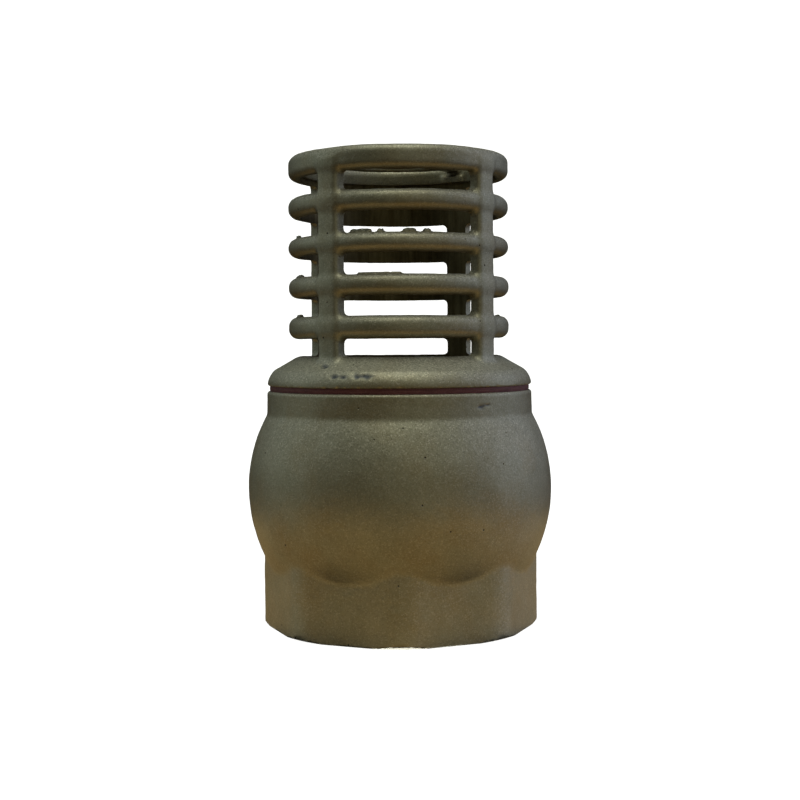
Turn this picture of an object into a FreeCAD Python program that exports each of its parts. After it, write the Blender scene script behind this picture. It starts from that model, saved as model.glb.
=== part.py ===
import math
import os

import FreeCAD
import Part
import Sketcher

# Brass foot valve for a 2 inch suction pipe, standing on its octagonal threaded end with the
# strainer cage up. Millimetres, +Z up. The origin is the middle of the threaded end's face.
# The spring holds the disc up against the seat at the foot of the cage, and the valve opens
# when the disc moves down, towards the pipe.

SIZES = [
    # Octagonal pipe socket, with two corners on the X axis and two on the Y axis
    ("octagon_flats", 71.6, "width across the flats"),
    ("octagon_height", 25.0, "height of the prism, which ends inside the bulb"),
    ("octagon_corner", 12.0, "rounding of the upright corners"),
    ("base_chamfer", 0.8, "chamfer round the face that the valve stands on"),
    # Bulb and collar
    ("bulb_radius", 41.9, "outside radius of the spherical chamber"),
    ("bulb_centre", 37.7, "height of the chamber's centre"),
    ("bulb_start_radius", 30.0, "where the bulb starts, inside the octagon"),
    ("collar_low_radius", 36.75, "collar radius where it meets the bulb"),
    ("collar_top_radius", 36.6, "collar radius at its top face"),
    ("collar_top", 64.35, "height of the collar's top face"),
    ("collar_edge", 0.5, "rounding of the collar's top edge"),
    # Inside of the body
    ("pipe_thread_radius", 28.33, "minor radius of the G2 female thread"),
    ("pipe_entry_radius", 30.3, "mouth radius of the entry chamfer"),
    ("pipe_entry_depth", 2.0, "depth of the entry chamfer"),
    ("pipe_thread_end", 22.5, "depth at which the pipe stops"),
    ("ledge_radius", 25.5, "waterway through the spider's ledge"),
    ("ledge_top", 25.0, "height of the ledge that carries the spider"),
    ("spider_pocket_radius", 29.05, "bore round the spider's rim"),
    ("chamber_floor", 28.5, "height of the chamber's floor"),
    ("chamber_radius", 37.7, "inside radius of the chamber"),
    ("mouth_radius", 32.5, "minor radius of the thread that takes the cage"),
    ("mouth_bottom", 54.3, "height of that thread's lower end"),
    # Gasket between the collar and the cage's flange
    ("gasket_thickness", 1.5, "thickness, clamped"),
    ("gasket_inner_radius", 32.6, "inner radius"),
    ("gasket_outer_radius", 35.9, "outer radius"),
    # Strainer cage: heights are above the underside of its flange
    ("cage_bore", 27.4, "radius of the machined bore"),
    ("cage_turn", 51.4, "direction of one post from the X axis, in degrees"),
    ("skirt_radius", 32.45, "outside radius of the screwed skirt"),
    ("skirt_length", 10.4, "length of the skirt below the flange"),
    ("skirt_chamfer", 1.0, "lead-in chamfer of the skirt"),
    ("lip_radius", 28.8, "outside radius of the raised seat lip"),
    ("lip_height", 1.0, "height of the seat lip"),
    ("flange_radius", 36.5, "flange radius"),
    ("flange_shoulder", 3.15, "height at which the cone starts"),
    ("flange_low_round", 1.2, "rounding of the flange's lower edge"),
    ("flange_top_round", 2.8, "rounding of the shoulder"),
    ("cone_top_radius", 27.9, "radius of the cone's top edge"),
    ("cone_top", 8.1, "height of the cone's top edge"),
    ("post_width", 6.8, "width of a post"),
    ("post_outer_radius", 30.4, "distance of a post's outer face from the axis"),
    ("post_root", 5.0, "height at which a post starts, inside the cone"),
    ("stock_radius", 26.5, "inner radius of posts and rings before boring"),
    ("ring_radius", 30.5, "outside radius of the rings"),
    ("ring_height", 5.6, "height of a ring"),
    ("ring_first", 15.8, "mid-height of the lowest ring"),
    ("ring_pitch", 11.03, "height from ring to ring"),
    ("end_ring_inner", 26.0, "inner radius of the end ring"),
    ("end_ring_height", 6.4, "height of the end ring"),
    ("bore_end", 58.4, "height at which the machined bore stops"),
    ("grille_bottom", 61.45, "height of the end grille's lower face"),
    ("grille_thickness", 1.6, "thickness of the end grille"),
    ("grille_arm_width", 4.0, "width of a grille arm"),
    ("grille_boss", 4.6, "radius of the grille's middle"),
    ("grille_ring_width", 3.1, "width of each grille ring"),
    ("grille_inner_ring", 10.0, "inner radius of the inner grille ring"),
    ("grille_outer_ring", 18.1, "inner radius of the outer grille ring"),
    # Guide spider: heights are above the ledge
    ("spider_radius", 29.0, "outside radius of the rim"),
    ("spider_rim", 3.0, "radial width of the rim"),
    ("spider_thickness", 3.0, "thickness of the rim and the arms"),
    ("spider_arm_width", 3.6, "width of an arm"),
    ("hub_radius", 7.0, "outside radius of the hub"),
    ("hub_drop", 2.0, "how far the hub hangs below the ledge"),
    ("hub_rise", 9.5, "height of the hub's top above the ledge"),
    # Guide bush
    ("bush_radius", 5.2, "outside radius of the bush"),
    ("bush_bore", 4.05, "bore of the bush"),
    ("bush_flange_radius", 6.4, "radius of the flange on the hub"),
    ("bush_flange", 0.6, "thickness of that flange"),
    # Poppet: spindle, disc, seal and their fasteners
    ("seat_gap", 0.05, "gap between the seal and the seat lip, closed"),
    ("stem_radius", 4.0, "radius of the spindle"),
    ("stem_below", 24.0, "length of the spindle below the disc"),
    ("stem_above", 17.5, "length of the spindle above the disc's underside"),
    ("stem_chamfer", 0.6, "chamfer on each end of the spindle"),
    ("shoulder_radius", 6.0, "radius of the shoulder that carries the disc"),
    ("shoulder_height", 2.0, "height of that shoulder"),
    ("stem_hole", 4.02, "hole for the spindle in the pieces that it clamps"),
    ("disc_radius", 30.2, "radius of the valve disc"),
    ("disc_thickness", 4.0, "thickness of the disc's plate"),
    ("disc_boss_radius", 12.0, "radius of the boss inside the seal"),
    ("disc_edge", 0.6, "rounding of the disc's edges"),
    ("seal_radius", 29.6, "outside radius of the seal ring"),
    ("seal_inner_radius", 12.1, "inner radius of the seal ring"),
    ("seal_thickness", 1.95, "thickness of the seal ring"),
    ("retainer_radius", 25.5, "radius of the plate that clamps the seal"),
    ("retainer_thickness", 2.0, "thickness of that plate"),
    ("lock_washer_radius", 7.4, "outside radius of the split lock washer"),
    ("lock_washer_bore", 4.25, "bore of the split lock washer"),
    ("lock_washer_thickness", 1.6, "thickness of the split lock washer"),
    ("lock_washer_split", 1.2, "width of its split"),
    ("nut_flats", 13.0, "width across the flats of the M8 nut"),
    ("nut_height", 6.5, "height of the nut"),
    ("nut_chamfer", 0.7, "chamfer round both ends of the nut"),
    # Spring and the washer that lets the poppet turn on it
    ("spring_washer_radius", 13.0, "outside radius of the spring washer"),
    ("spring_washer_bore", 6.08, "bore of the spring washer"),
    ("spring_washer_thickness", 1.0, "thickness of the spring washer"),
    ("spring_radius", 11.0, "radius of the coils' centre line"),
    ("spring_wire", 0.7, "radius of the spring wire"),
    ("spring_turns", 4.5, "number of turns"),
]

# Heights in the assembly, as expressions on the sheet
FLANGE_Z = "(Size.collar_top + Size.gasket_thickness)"
SEAT_Z = f"({FLANGE_Z} - Size.skirt_length - Size.lip_height)"
SEAL_Z = f"({SEAT_Z} - Size.seat_gap - Size.seal_thickness)"
DISC_Z = f"({SEAL_Z} - Size.disc_thickness)"
RETAINER_Z = f"({SEAT_Z} - Size.seat_gap)"
LOCK_WASHER_Z = f"({RETAINER_Z} + Size.retainer_thickness)"
NUT_Z = f"({LOCK_WASHER_Z} + Size.lock_washer_thickness)"
SPRING_TOP_Z = f"({DISC_Z} - Size.spring_washer_thickness)"
SPRING_FOOT_Z = "(Size.ledge_top + Size.spider_thickness)"
HUB_TOP_Z = "(Size.ledge_top + Size.hub_rise)"
GRILLE_RINGS = ("Size.grille_inner_ring", "Size.grille_outer_ring")

START, END, CENTRE = 1, 2, 3
ORIGIN = -1
X_AXIS = -1

doc = FreeCAD.newDocument("foot_valve")


def fill_sheet():
    """Put the driving sizes on a sheet, one row each: name, value, meaning."""
    sheet = doc.addObject("Spreadsheet::Sheet", "Size")
    for row, (alias, value, meaning) in enumerate(SIZES, start=1):
        sheet.set(f"A{row}", alias)
        sheet.set(f"B{row}", str(value))
        sheet.setAlias(f"B{row}", alias)
        sheet.set(f"C{row}", meaning)
    doc.recompute()
    return sheet


size_sheet = fill_sheet()


def value(expression):
    """The present number of an expression on the sheet."""
    return float(size_sheet.evalExpression(expression))


def new_body(label, height="0", turn=None):
    """An empty body, placed at a height in the assembly and turned about Z."""
    body = doc.addObject("PartDesign::Body", label)
    body.Label = label
    body.setExpression("Placement.Base.z", height)
    if turn:
        body.Placement.Rotation = FreeCAD.Rotation(FreeCAD.Vector(0, 0, 1), 0)
        body.setExpression("Placement.Rotation.Angle", turn)
    doc.recompute()
    return body


def origin_feature(body, role):
    """An origin plane or axis of a body, by its role."""
    return next(item for item in body.Origin.OriginFeatures if item.Role == role)


def new_sketch(body, name, plane, height=None):
    """A sketch on an origin plane of its body, lifted along Z if a height is given."""
    sketch = body.newObject("Sketcher::SketchObject", name)
    sketch.AttachmentSupport = [(origin_feature(body, plane), "")]
    sketch.MapMode = "FlatFace"
    if height:
        sketch.setExpression("AttachmentOffset.Base.z", height)
    doc.recompute()
    return sketch


def bind(sketch, constraint, expression=None):
    """Add a constraint, and bind its value to the sheet when an expression is given."""
    index = sketch.addConstraint(constraint)
    if expression:
        sketch.setExpression(f"Constraints[{index}]", expression)


def fix_point(sketch, edge, end, across, up):
    """Hold a point of an edge at a distance across and up from the sketch's origin."""
    if across:
        bind(sketch, Sketcher.Constraint("DistanceX", edge, end, value(across)), across)
    if up:
        bind(sketch, Sketcher.Constraint("DistanceY", edge, end, value(up)), up)


def draw_polygon(sketch, corners):
    """A closed outline of straight lines through corners given as expressions."""
    points = [FreeCAD.Vector(value(across), value(up), 0) for across, up in corners]
    edges = []
    for index, point in enumerate(points):
        following = points[(index + 1) % len(points)]
        edges.append(sketch.addGeometry(Part.LineSegment(point, following), False))
    for index, edge in enumerate(edges):
        following = edges[(index + 1) % len(edges)]
        bind(sketch, Sketcher.Constraint("Coincident", edge, END, following, START))
        fix_point(sketch, edge, START, *corners[index])


def draw_bulged(sketch, corners, centre, far_end=(False, True)):
    """A closed outline whose first edge is an arc that runs anticlockwise about a centre.

    The arc's far end is held only across or only in height, because its radius settles the rest.
    """
    points = [FreeCAD.Vector(value(across), value(up), 0) for across, up in corners]
    middle = FreeCAD.Vector(value(centre[0]), value(centre[1]), 0)
    radius = points[0].distanceToPoint(middle)
    east = FreeCAD.Vector(1, 0, 0)
    angles = [east.getAngle(point - middle) for point in points[:2]]
    low, high = [angle if point.y > middle.y else -angle for angle, point in zip(angles, points)]
    circle = Part.Circle(middle, FreeCAD.Vector(0, 0, 1), radius)
    edges = [sketch.addGeometry(Part.ArcOfCircle(circle, low, high), False)]
    for index in range(1, len(points)):
        following = points[(index + 1) % len(points)]
        edges.append(sketch.addGeometry(Part.LineSegment(points[index], following), False))
    for index, edge in enumerate(edges):
        following = edges[(index + 1) % len(edges)]
        bind(sketch, Sketcher.Constraint("Coincident", edge, END, following, START))
    fix_point(sketch, edges[0], CENTRE, *centre)
    fix_point(sketch, edges[0], START, *corners[0])
    held = [place if wanted else None for place, wanted in zip(corners[1], far_end)]
    fix_point(sketch, edges[1], START, *held)
    for edge, corner in zip(edges[2:], corners[2:]):
        fix_point(sketch, edge, START, *corner)


def draw_circles(sketch, *radii):
    """Circles about the sketch's origin."""
    for radius in radii:
        circle = Part.Circle(FreeCAD.Vector(0, 0, 0), FreeCAD.Vector(0, 0, 1), value(radius))
        edge = sketch.addGeometry(circle, False)
        bind(sketch, Sketcher.Constraint("Coincident", edge, CENTRE, ORIGIN, START))
        bind(sketch, Sketcher.Constraint("Radius", edge, value(radius)), radius)


def draw_regular(sketch, sides, flats):
    """A regular polygon about the origin, with a corner on the X axis, given across its flats."""
    corner_radius = f"{flats} / 2 / cos({180 / sides} deg)"
    reach = FreeCAD.Vector(value(corner_radius), 0, 0)
    circle = Part.Circle(FreeCAD.Vector(0, 0, 0), FreeCAD.Vector(0, 0, 1), reach.x)
    guide = sketch.addGeometry(circle, True)
    bind(sketch, Sketcher.Constraint("Coincident", guide, CENTRE, ORIGIN, START))
    bind(sketch, Sketcher.Constraint("Radius", guide, reach.x), corner_radius)
    step = FreeCAD.Rotation(FreeCAD.Vector(0, 0, 1), 360 / sides)
    edges = []
    for _ in range(sides):
        following = step.multVec(reach)
        edges.append(sketch.addGeometry(Part.LineSegment(reach, following), False))
        reach = following
    for index, edge in enumerate(edges):
        following = edges[(index + 1) % sides]
        bind(sketch, Sketcher.Constraint("Coincident", edge, END, following, START))
        bind(sketch, Sketcher.Constraint("PointOnObject", edge, START, guide))
        if index:
            bind(sketch, Sketcher.Constraint("Equal", edges[0], edge))
    bind(sketch, Sketcher.Constraint("PointOnObject", edges[0], START, X_AXIS))


def profiled(kind, body, sketch, name):
    """A new feature that works on a sketch, such as a pad or a groove."""
    feature = body.newObject(kind, name)
    feature.Profile = sketch
    return feature


def pad(body, sketch, name, length):
    """Extrude a sketch upwards."""
    feature = profiled("PartDesign::Pad", body, sketch, name)
    feature.setExpression("Length", length)
    doc.recompute()
    return feature


def revolve(body, sketch, name):
    """Turn a sketch once round the Z axis and add it."""
    feature = profiled("PartDesign::Revolution", body, sketch, name)
    feature.ReferenceAxis = (sketch, ["V_Axis"])
    feature.Angle = 360
    doc.recompute()
    return feature


def groove(body, sketch, name):
    """Turn a sketch once round the Z axis and cut it away, checking that it cuts."""
    before = body.Shape.Volume
    feature = profiled("PartDesign::Groove", body, sketch, name)
    feature.ReferenceAxis = (sketch, ["V_Axis"])
    feature.Angle = 360
    doc.recompute()
    if body.Shape.Volume >= before:
        raise RuntimeError(f"{name} cut nothing from {body.Label}")
    return feature


def around_z(body, feature, name, count):
    """Repeat a feature evenly round the Z axis."""
    pattern = body.newObject("PartDesign::PolarPattern", name)
    pattern.Originals = [feature]
    pattern.Axis = (origin_feature(body, "Z_Axis"), [""])
    pattern.Angle = 360
    pattern.Occurrences = count
    body.Tip = pattern
    doc.recompute()
    return pattern


def dress(kind, body, name, expression, wanted):
    """Fillet or chamfer the edges of the body's tip that a test picks."""
    base = body.Tip
    names = [f"Edge{n}" for n, edge in enumerate(base.Shape.Edges, start=1) if wanted(edge)]
    if not names:
        raise RuntimeError(f"{name} found no edge on {body.Label}")
    feature = body.newObject(kind, name)
    feature.Base = (base, names)
    prop = "Radius" if kind.endswith("Fillet") else "Size"
    feature.setExpression(prop, expression)
    doc.recompute()
    return feature


def is_circle(radius, height):
    """A test for a full circle of a given radius at a given height, both as expressions."""
    radius = value(radius)
    height = value(height)

    def test(edge):
        curve = edge.Curve
        return (
            isinstance(curve, Part.Circle)
            and abs(curve.Radius - radius) < 0.01
            and abs(curve.Center.z - height) < 0.01
        )

    return test


def is_upright(edge):
    """A test for an edge that runs up the Z axis."""
    return abs(edge.tangentAt(edge.FirstParameter).z) > 0.99


def is_at_base(edge):
    """A test for an edge that lies on the body's XY plane."""
    return edge.BoundBox.ZMax < 0.01


def any_of(*tests):
    """A test that passes when one of several does."""
    return lambda edge: any(test(edge) for test in tests)


def ring(label, height, outer, inner, thickness):
    """A flat ring or washer, standing on its placement."""
    body = new_body(label, height)
    sketch = new_sketch(body, label + "_outline", "XY_Plane")
    draw_circles(sketch, outer, inner)
    pad(body, sketch, label + "_pad", thickness)
    return body


def make_body():
    """The cast body: octagonal socket, bulb, collar and everything bored in it."""
    body = new_body("valve_body")
    octagon = new_sketch(body, "octagon", "XY_Plane")
    draw_regular(octagon, 8, "Size.octagon_flats")
    pad(body, octagon, "socket", "Size.octagon_height")
    dress("PartDesign::Fillet", body, "socket_corners", "Size.octagon_corner", is_upright)
    dress("PartDesign::Chamfer", body, "socket_base", "Size.base_chamfer", is_at_base)

    bulb_drop = "sqrt(Size.bulb_radius^2 - Size.bulb_start_radius^2)"
    bulb_rise = "sqrt(Size.bulb_radius^2 - Size.collar_low_radius^2)"
    bulb = new_sketch(body, "bulb_outline", "XZ_Plane")
    draw_bulged(
        bulb,
        [
            ("Size.bulb_start_radius", f"Size.bulb_centre - {bulb_drop}"),
            ("Size.collar_low_radius", f"Size.bulb_centre + {bulb_rise}"),
            ("Size.collar_top_radius", "Size.collar_top"),
            ("0", "Size.collar_top"),
            ("0", f"Size.bulb_centre - {bulb_drop}"),
        ],
        ("0", "Size.bulb_centre"),
    )
    revolve(body, bulb, "bulb")
    rim = is_circle("Size.collar_top_radius", "Size.collar_top")
    dress("PartDesign::Fillet", body, "collar_rim", "Size.collar_edge", rim)

    chamber_low = "sqrt(Size.chamber_radius^2 - (Size.bulb_centre - Size.chamber_floor)^2)"
    chamber_high = "sqrt(Size.chamber_radius^2 - (Size.mouth_bottom - Size.bulb_centre)^2)"
    inside = new_sketch(body, "waterway", "XZ_Plane")
    draw_bulged(
        inside,
        [
            (chamber_low, "Size.chamber_floor"),
            (chamber_high, "Size.mouth_bottom"),
            ("Size.mouth_radius", "Size.mouth_bottom"),
            ("Size.mouth_radius", "Size.collar_top"),
            ("0", "Size.collar_top"),
            ("0", "0"),
            ("Size.pipe_entry_radius", "0"),
            ("Size.pipe_thread_radius", "Size.pipe_entry_depth"),
            ("Size.pipe_thread_radius", "Size.pipe_thread_end"),
            ("Size.ledge_radius", "Size.pipe_thread_end"),
            ("Size.ledge_radius", "Size.ledge_top"),
            ("Size.spider_pocket_radius", "Size.ledge_top"),
            ("Size.spider_pocket_radius", "Size.chamber_floor"),
        ],
        ("0", "Size.bulb_centre"),
    )
    groove(body, inside, "waterway_cut")
    return body


def draw_bullnose(sketch, height):
    """A ring's section: straight inner edge and a half-round outer edge."""
    radius = "Size.ring_height / 2"
    top = f"({height} + {radius})"
    bottom = f"({height} - {radius})"
    nose = f"Size.ring_radius - {radius}"
    middle = (nose, height)
    corners = [
        (nose, bottom),
        (nose, top),
        ("Size.stock_radius", top),
        ("Size.stock_radius", bottom),
    ]
    draw_bulged(sketch, corners, middle, far_end=(True, False))


def draw_stadium(sketch, height):
    """The end ring's section: two half-round ends joined by short upright sides."""
    radius = "(Size.ring_radius - Size.end_ring_inner) / 2"
    middle = "(Size.ring_radius + Size.end_ring_inner) / 2"
    offset = f"(Size.end_ring_height / 2 - {radius})"
    centres = [f"{height} + {offset}", f"{height} - {offset}"]
    arcs = []
    for centre, first in zip(centres, (0.0, math.pi)):
        point = FreeCAD.Vector(value(middle), value(centre), 0)
        circle = Part.Circle(point, FreeCAD.Vector(0, 0, 1), value(radius))
        arc = sketch.addGeometry(Part.ArcOfCircle(circle, first, first + math.pi), False)
        fix_point(sketch, arc, CENTRE, middle, centre)
        bind(sketch, Sketcher.Constraint("Radius", arc, value(radius)), radius)
        arcs.append(arc)
    for this, other in (arcs, arcs[::-1]):
        first = sketch.Geometry[this].EndPoint
        second = sketch.Geometry[other].StartPoint
        side = sketch.addGeometry(Part.LineSegment(first, second), False)
        bind(sketch, Sketcher.Constraint("Tangent", this, END, side, START))
        bind(sketch, Sketcher.Constraint("Tangent", side, END, other, START))


def make_cage():
    """The cast strainer cage: screwed skirt with the seat, conical flange, posts and rings."""
    body = new_body("strainer_cage", FLANGE_Z, "Size.cage_turn")
    foot = new_sketch(body, "skirt_outline", "XZ_Plane")
    skirt_foot = "(-Size.skirt_length)"
    lip_foot = "(-Size.skirt_length - Size.lip_height)"
    draw_polygon(
        foot,
        [
            ("Size.cage_bore", lip_foot),
            ("Size.lip_radius", lip_foot),
            ("Size.lip_radius", skirt_foot),
            ("Size.skirt_radius", skirt_foot),
            ("Size.skirt_radius", "0"),
            ("Size.flange_radius", "0"),
            ("Size.flange_radius", "Size.flange_shoulder"),
            ("Size.cone_top_radius", "Size.cone_top"),
            ("Size.cage_bore", "Size.cone_top"),
        ],
    )
    revolve(body, foot, "skirt_and_flange")
    shoulder = is_circle("Size.flange_radius", "Size.flange_shoulder")
    dress("PartDesign::Fillet", body, "flange_shoulder", "Size.flange_top_round", shoulder)
    lower = is_circle("Size.flange_radius", "0")
    dress("PartDesign::Fillet", body, "flange_edge", "Size.flange_low_round", lower)
    lead_in = is_circle("Size.skirt_radius", "-Size.skirt_length")
    dress("PartDesign::Chamfer", body, "skirt_lead_in", "Size.skirt_chamfer", lead_in)

    end_middle = "(Size.ring_first + 4 * Size.ring_pitch)"
    post = new_sketch(body, "post_outline", "XY_Plane", "Size.post_root")
    half = "Size.post_width / 2"
    draw_polygon(
        post,
        [
            ("Size.stock_radius", f"-{half}"),
            ("Size.post_outer_radius", f"-{half}"),
            ("Size.post_outer_radius", half),
            ("Size.stock_radius", half),
        ],
    )
    post_pad = pad(body, post, "post", f"{end_middle} - Size.post_root")
    around_z(body, post_pad, "posts", 4)

    section = new_sketch(body, "ring_section", "XZ_Plane")
    draw_bullnose(section, "Size.ring_first")
    one_ring = revolve(body, section, "lowest_ring")
    rings = body.newObject("PartDesign::LinearPattern", "rings")
    rings.Originals = [one_ring]
    rings.Direction = (origin_feature(body, "Z_Axis"), [""])
    rings.setExpression("Length", "3 * Size.ring_pitch")
    rings.Occurrences = 4
    body.Tip = rings
    doc.recompute()
    end_section = new_sketch(body, "end_ring_section", "XZ_Plane")
    draw_stadium(end_section, end_middle)
    revolve(body, end_section, "end_ring")

    arm = new_sketch(body, "grille_arm_outline", "XY_Plane", "Size.grille_bottom")
    half_arm = "Size.grille_arm_width / 2"
    arm_reach = "(Size.end_ring_inner + Size.ring_radius) / 2"
    draw_polygon(
        arm,
        [
            ("0", f"-{half_arm}"),
            (arm_reach, f"-{half_arm}"),
            (arm_reach, half_arm),
            ("0", half_arm),
        ],
    )
    arm_pad = pad(body, arm, "grille_arm", "Size.grille_thickness")
    around_z(body, arm_pad, "grille_arms", 4)
    for number, inner in enumerate(GRILLE_RINGS, start=1):
        outline = new_sketch(body, f"grille_ring_{number}_outline", "XY_Plane", "Size.grille_bottom")
        draw_circles(outline, inner, f"{inner} + Size.grille_ring_width")
        pad(body, outline, f"grille_ring_{number}", "Size.grille_thickness")
    boss = new_sketch(body, "grille_boss_outline", "XY_Plane", "Size.grille_bottom")
    draw_circles(boss, "Size.grille_boss")
    pad(body, boss, "grille_boss", "Size.grille_thickness")

    bore = new_sketch(body, "bore_outline", "XZ_Plane")
    draw_polygon(
        bore,
        [
            ("0", lip_foot),
            ("Size.cage_bore", lip_foot),
            ("Size.cage_bore", "Size.bore_end"),
            ("0", "Size.bore_end"),
        ],
    )
    groove(body, bore, "machined_bore")
    return body


def make_spider():
    """The guide spider: rim on the body's ledge, three arms and a long hub for the bush."""
    body = new_body("guide_spider", "Size.ledge_top")
    hub = new_sketch(body, "hub_outline", "XY_Plane", "-Size.hub_drop")
    draw_circles(hub, "Size.hub_radius")
    pad(body, hub, "hub", "Size.hub_drop + Size.hub_rise")
    arm = new_sketch(body, "arm_outline", "XY_Plane")
    half = "Size.spider_arm_width / 2"
    reach = "Size.spider_radius - Size.spider_rim / 2"
    draw_polygon(arm, [("0", f"-{half}"), (reach, f"-{half}"), (reach, half), ("0", half)])
    arm_pad = pad(body, arm, "arm", "Size.spider_thickness")
    around_z(body, arm_pad, "arms", 3)
    rim = new_sketch(body, "rim_outline", "XY_Plane")
    draw_circles(rim, "Size.spider_radius", "Size.spider_radius - Size.spider_rim")
    pad(body, rim, "rim", "Size.spider_thickness")
    bore = new_sketch(body, "hub_bore_outline", "XZ_Plane")
    low = "-Size.hub_drop"
    high = "Size.hub_rise"
    draw_polygon(bore, [("0", low), ("Size.bush_radius", low), ("Size.bush_radius", high), ("0", high)])
    groove(body, bore, "hub_bore")
    return body


def make_bush():
    """The flanged plastic bush in the spider's hub."""
    body = new_body("guide_bush", HUB_TOP_Z)
    outline = new_sketch(body, "bush_outline", "XZ_Plane")
    foot = "(-Size.hub_rise - Size.hub_drop)"
    draw_polygon(
        outline,
        [
            ("Size.bush_bore", foot),
            ("Size.bush_radius", foot),
            ("Size.bush_radius", "0"),
            ("Size.bush_flange_radius", "0"),
            ("Size.bush_flange_radius", "Size.bush_flange"),
            ("Size.bush_bore", "Size.bush_flange"),
        ],
    )
    revolve(body, outline, "bush")
    return body


def make_spring():
    """The closing spring, one open helix between the spider and the spring washer."""
    body = new_body("closing_spring", SPRING_FOOT_Z)
    wire = new_sketch(body, "wire_section", "XZ_Plane")
    middle = FreeCAD.Vector(value("Size.spring_radius"), value("Size.spring_wire"), 0)
    circle = Part.Circle(middle, FreeCAD.Vector(0, 0, 1), value("Size.spring_wire"))
    edge = wire.addGeometry(circle, False)
    fix_point(wire, edge, CENTRE, "Size.spring_radius", "Size.spring_wire")
    radius = Sketcher.Constraint("Radius", edge, value("Size.spring_wire"))
    bind(wire, radius, "Size.spring_wire")
    coil = profiled("PartDesign::AdditiveHelix", body, wire, "coil")
    coil.ReferenceAxis = (origin_feature(body, "Z_Axis"), "")
    coil.Mode = "height-turns-angle"
    coil.setExpression("Height", f"{SPRING_TOP_Z} - {SPRING_FOOT_Z} - 2 * Size.spring_wire")
    coil.setExpression("Turns", "Size.spring_turns")
    doc.recompute()
    return body


def make_spindle():
    """The spindle: lower stem in the bush, shoulder under the disc, threaded upper stem."""
    body = new_body("spindle", DISC_Z)
    outline = new_sketch(body, "spindle_outline", "XZ_Plane")
    foot = "(-Size.stem_below)"
    top = "Size.stem_above"
    shoulder_foot = "(-Size.shoulder_height)"
    end_radius = "Size.stem_radius - Size.stem_chamfer"
    draw_polygon(
        outline,
        [
            ("0", foot),
            (end_radius, foot),
            ("Size.stem_radius", f"{foot} + Size.stem_chamfer"),
            ("Size.stem_radius", shoulder_foot),
            ("Size.shoulder_radius", shoulder_foot),
            ("Size.shoulder_radius", "0"),
            ("Size.stem_radius", "0"),
            ("Size.stem_radius", f"{top} - Size.stem_chamfer"),
            (end_radius, top),
            ("0", top),
        ],
    )
    revolve(body, outline, "spindle_turned")
    return body


def make_disc():
    """The valve disc: a plate with a boss that centres the seal."""
    body = new_body("valve_disc", DISC_Z)
    outline = new_sketch(body, "disc_outline", "XZ_Plane")
    boss_top = "Size.disc_thickness + Size.seal_thickness"
    draw_polygon(
        outline,
        [
            ("Size.stem_hole", "0"),
            ("Size.disc_radius", "0"),
            ("Size.disc_radius", "Size.disc_thickness"),
            ("Size.disc_boss_radius", "Size.disc_thickness"),
            ("Size.disc_boss_radius", boss_top),
            ("Size.stem_hole", boss_top),
        ],
    )
    revolve(body, outline, "disc_turned")
    rims = any_of(
        is_circle("Size.disc_radius", "0"),
        is_circle("Size.disc_radius", "Size.disc_thickness"),
    )
    dress("PartDesign::Fillet", body, "disc_rims", "Size.disc_edge", rims)
    return body


def make_lock_washer():
    """The split lock washer under the nut."""
    body = ring(
        "lock_washer",
        LOCK_WASHER_Z,
        "Size.lock_washer_radius",
        "Size.lock_washer_bore",
        "Size.lock_washer_thickness",
    )
    split = new_sketch(body, "split_outline", "XY_Plane")
    half = "Size.lock_washer_split / 2"
    far = "Size.lock_washer_radius + Size.lock_washer_split"
    draw_polygon(split, [("0", f"-{half}"), (far, f"-{half}"), (far, half), ("0", half)])
    before = body.Shape.Volume
    cut = profiled("PartDesign::Pocket", body, split, "split")
    cut.Type = "ThroughAll"
    cut.Reversed = True
    doc.recompute()
    if body.Shape.Volume >= before:
        raise RuntimeError("the lock washer's split cut nothing")
    return body


def make_nut():
    """The hexagon nut that clamps the seal, chamfered at both ends."""
    body = new_body("disc_nut", NUT_Z)
    hexagon = new_sketch(body, "hexagon", "XY_Plane")
    draw_regular(hexagon, 6, "Size.nut_flats")
    draw_circles(hexagon, "Size.stem_hole")
    pad(body, hexagon, "nut_blank", "Size.nut_height")
    corner = "Size.nut_flats / 2 / cos(30 deg)"
    inner = f"({corner} - Size.nut_chamfer)"
    drop = "Size.nut_chamfer / 2"
    outer = f"({corner} + Size.nut_chamfer)"
    for number, (face, slope) in enumerate((("0", drop), ("Size.nut_height", f"-{drop}"))):
        wedge = new_sketch(body, f"chamfer_{number}_outline", "XZ_Plane")
        draw_polygon(wedge, [(inner, face), (outer, face), (outer, f"{face} + 2 * {slope}")])
        groove(body, wedge, f"chamfer_{number}")
    return body


def build_all():
    """Every sub-part of the valve, from the pipe end up."""
    return [
        make_body(),
        make_spider(),
        make_bush(),
        make_spring(),
        ring(
            "spring_washer",
            SPRING_TOP_Z,
            "Size.spring_washer_radius",
            "Size.spring_washer_bore",
            "Size.spring_washer_thickness",
        ),
        make_spindle(),
        make_disc(),
        ring("disc_seal", SEAL_Z, "Size.seal_radius", "Size.seal_inner_radius", "Size.seal_thickness"),
        ring(
            "seal_retainer",
            RETAINER_Z,
            "Size.retainer_radius",
            "Size.stem_hole",
            "Size.retainer_thickness",
        ),
        make_lock_washer(),
        make_nut(),
        ring(
            "flange_gasket",
            "Size.collar_top",
            "Size.gasket_outer_radius",
            "Size.gasket_inner_radius",
            "Size.gasket_thickness",
        ),
        make_cage(),
    ]


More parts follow.
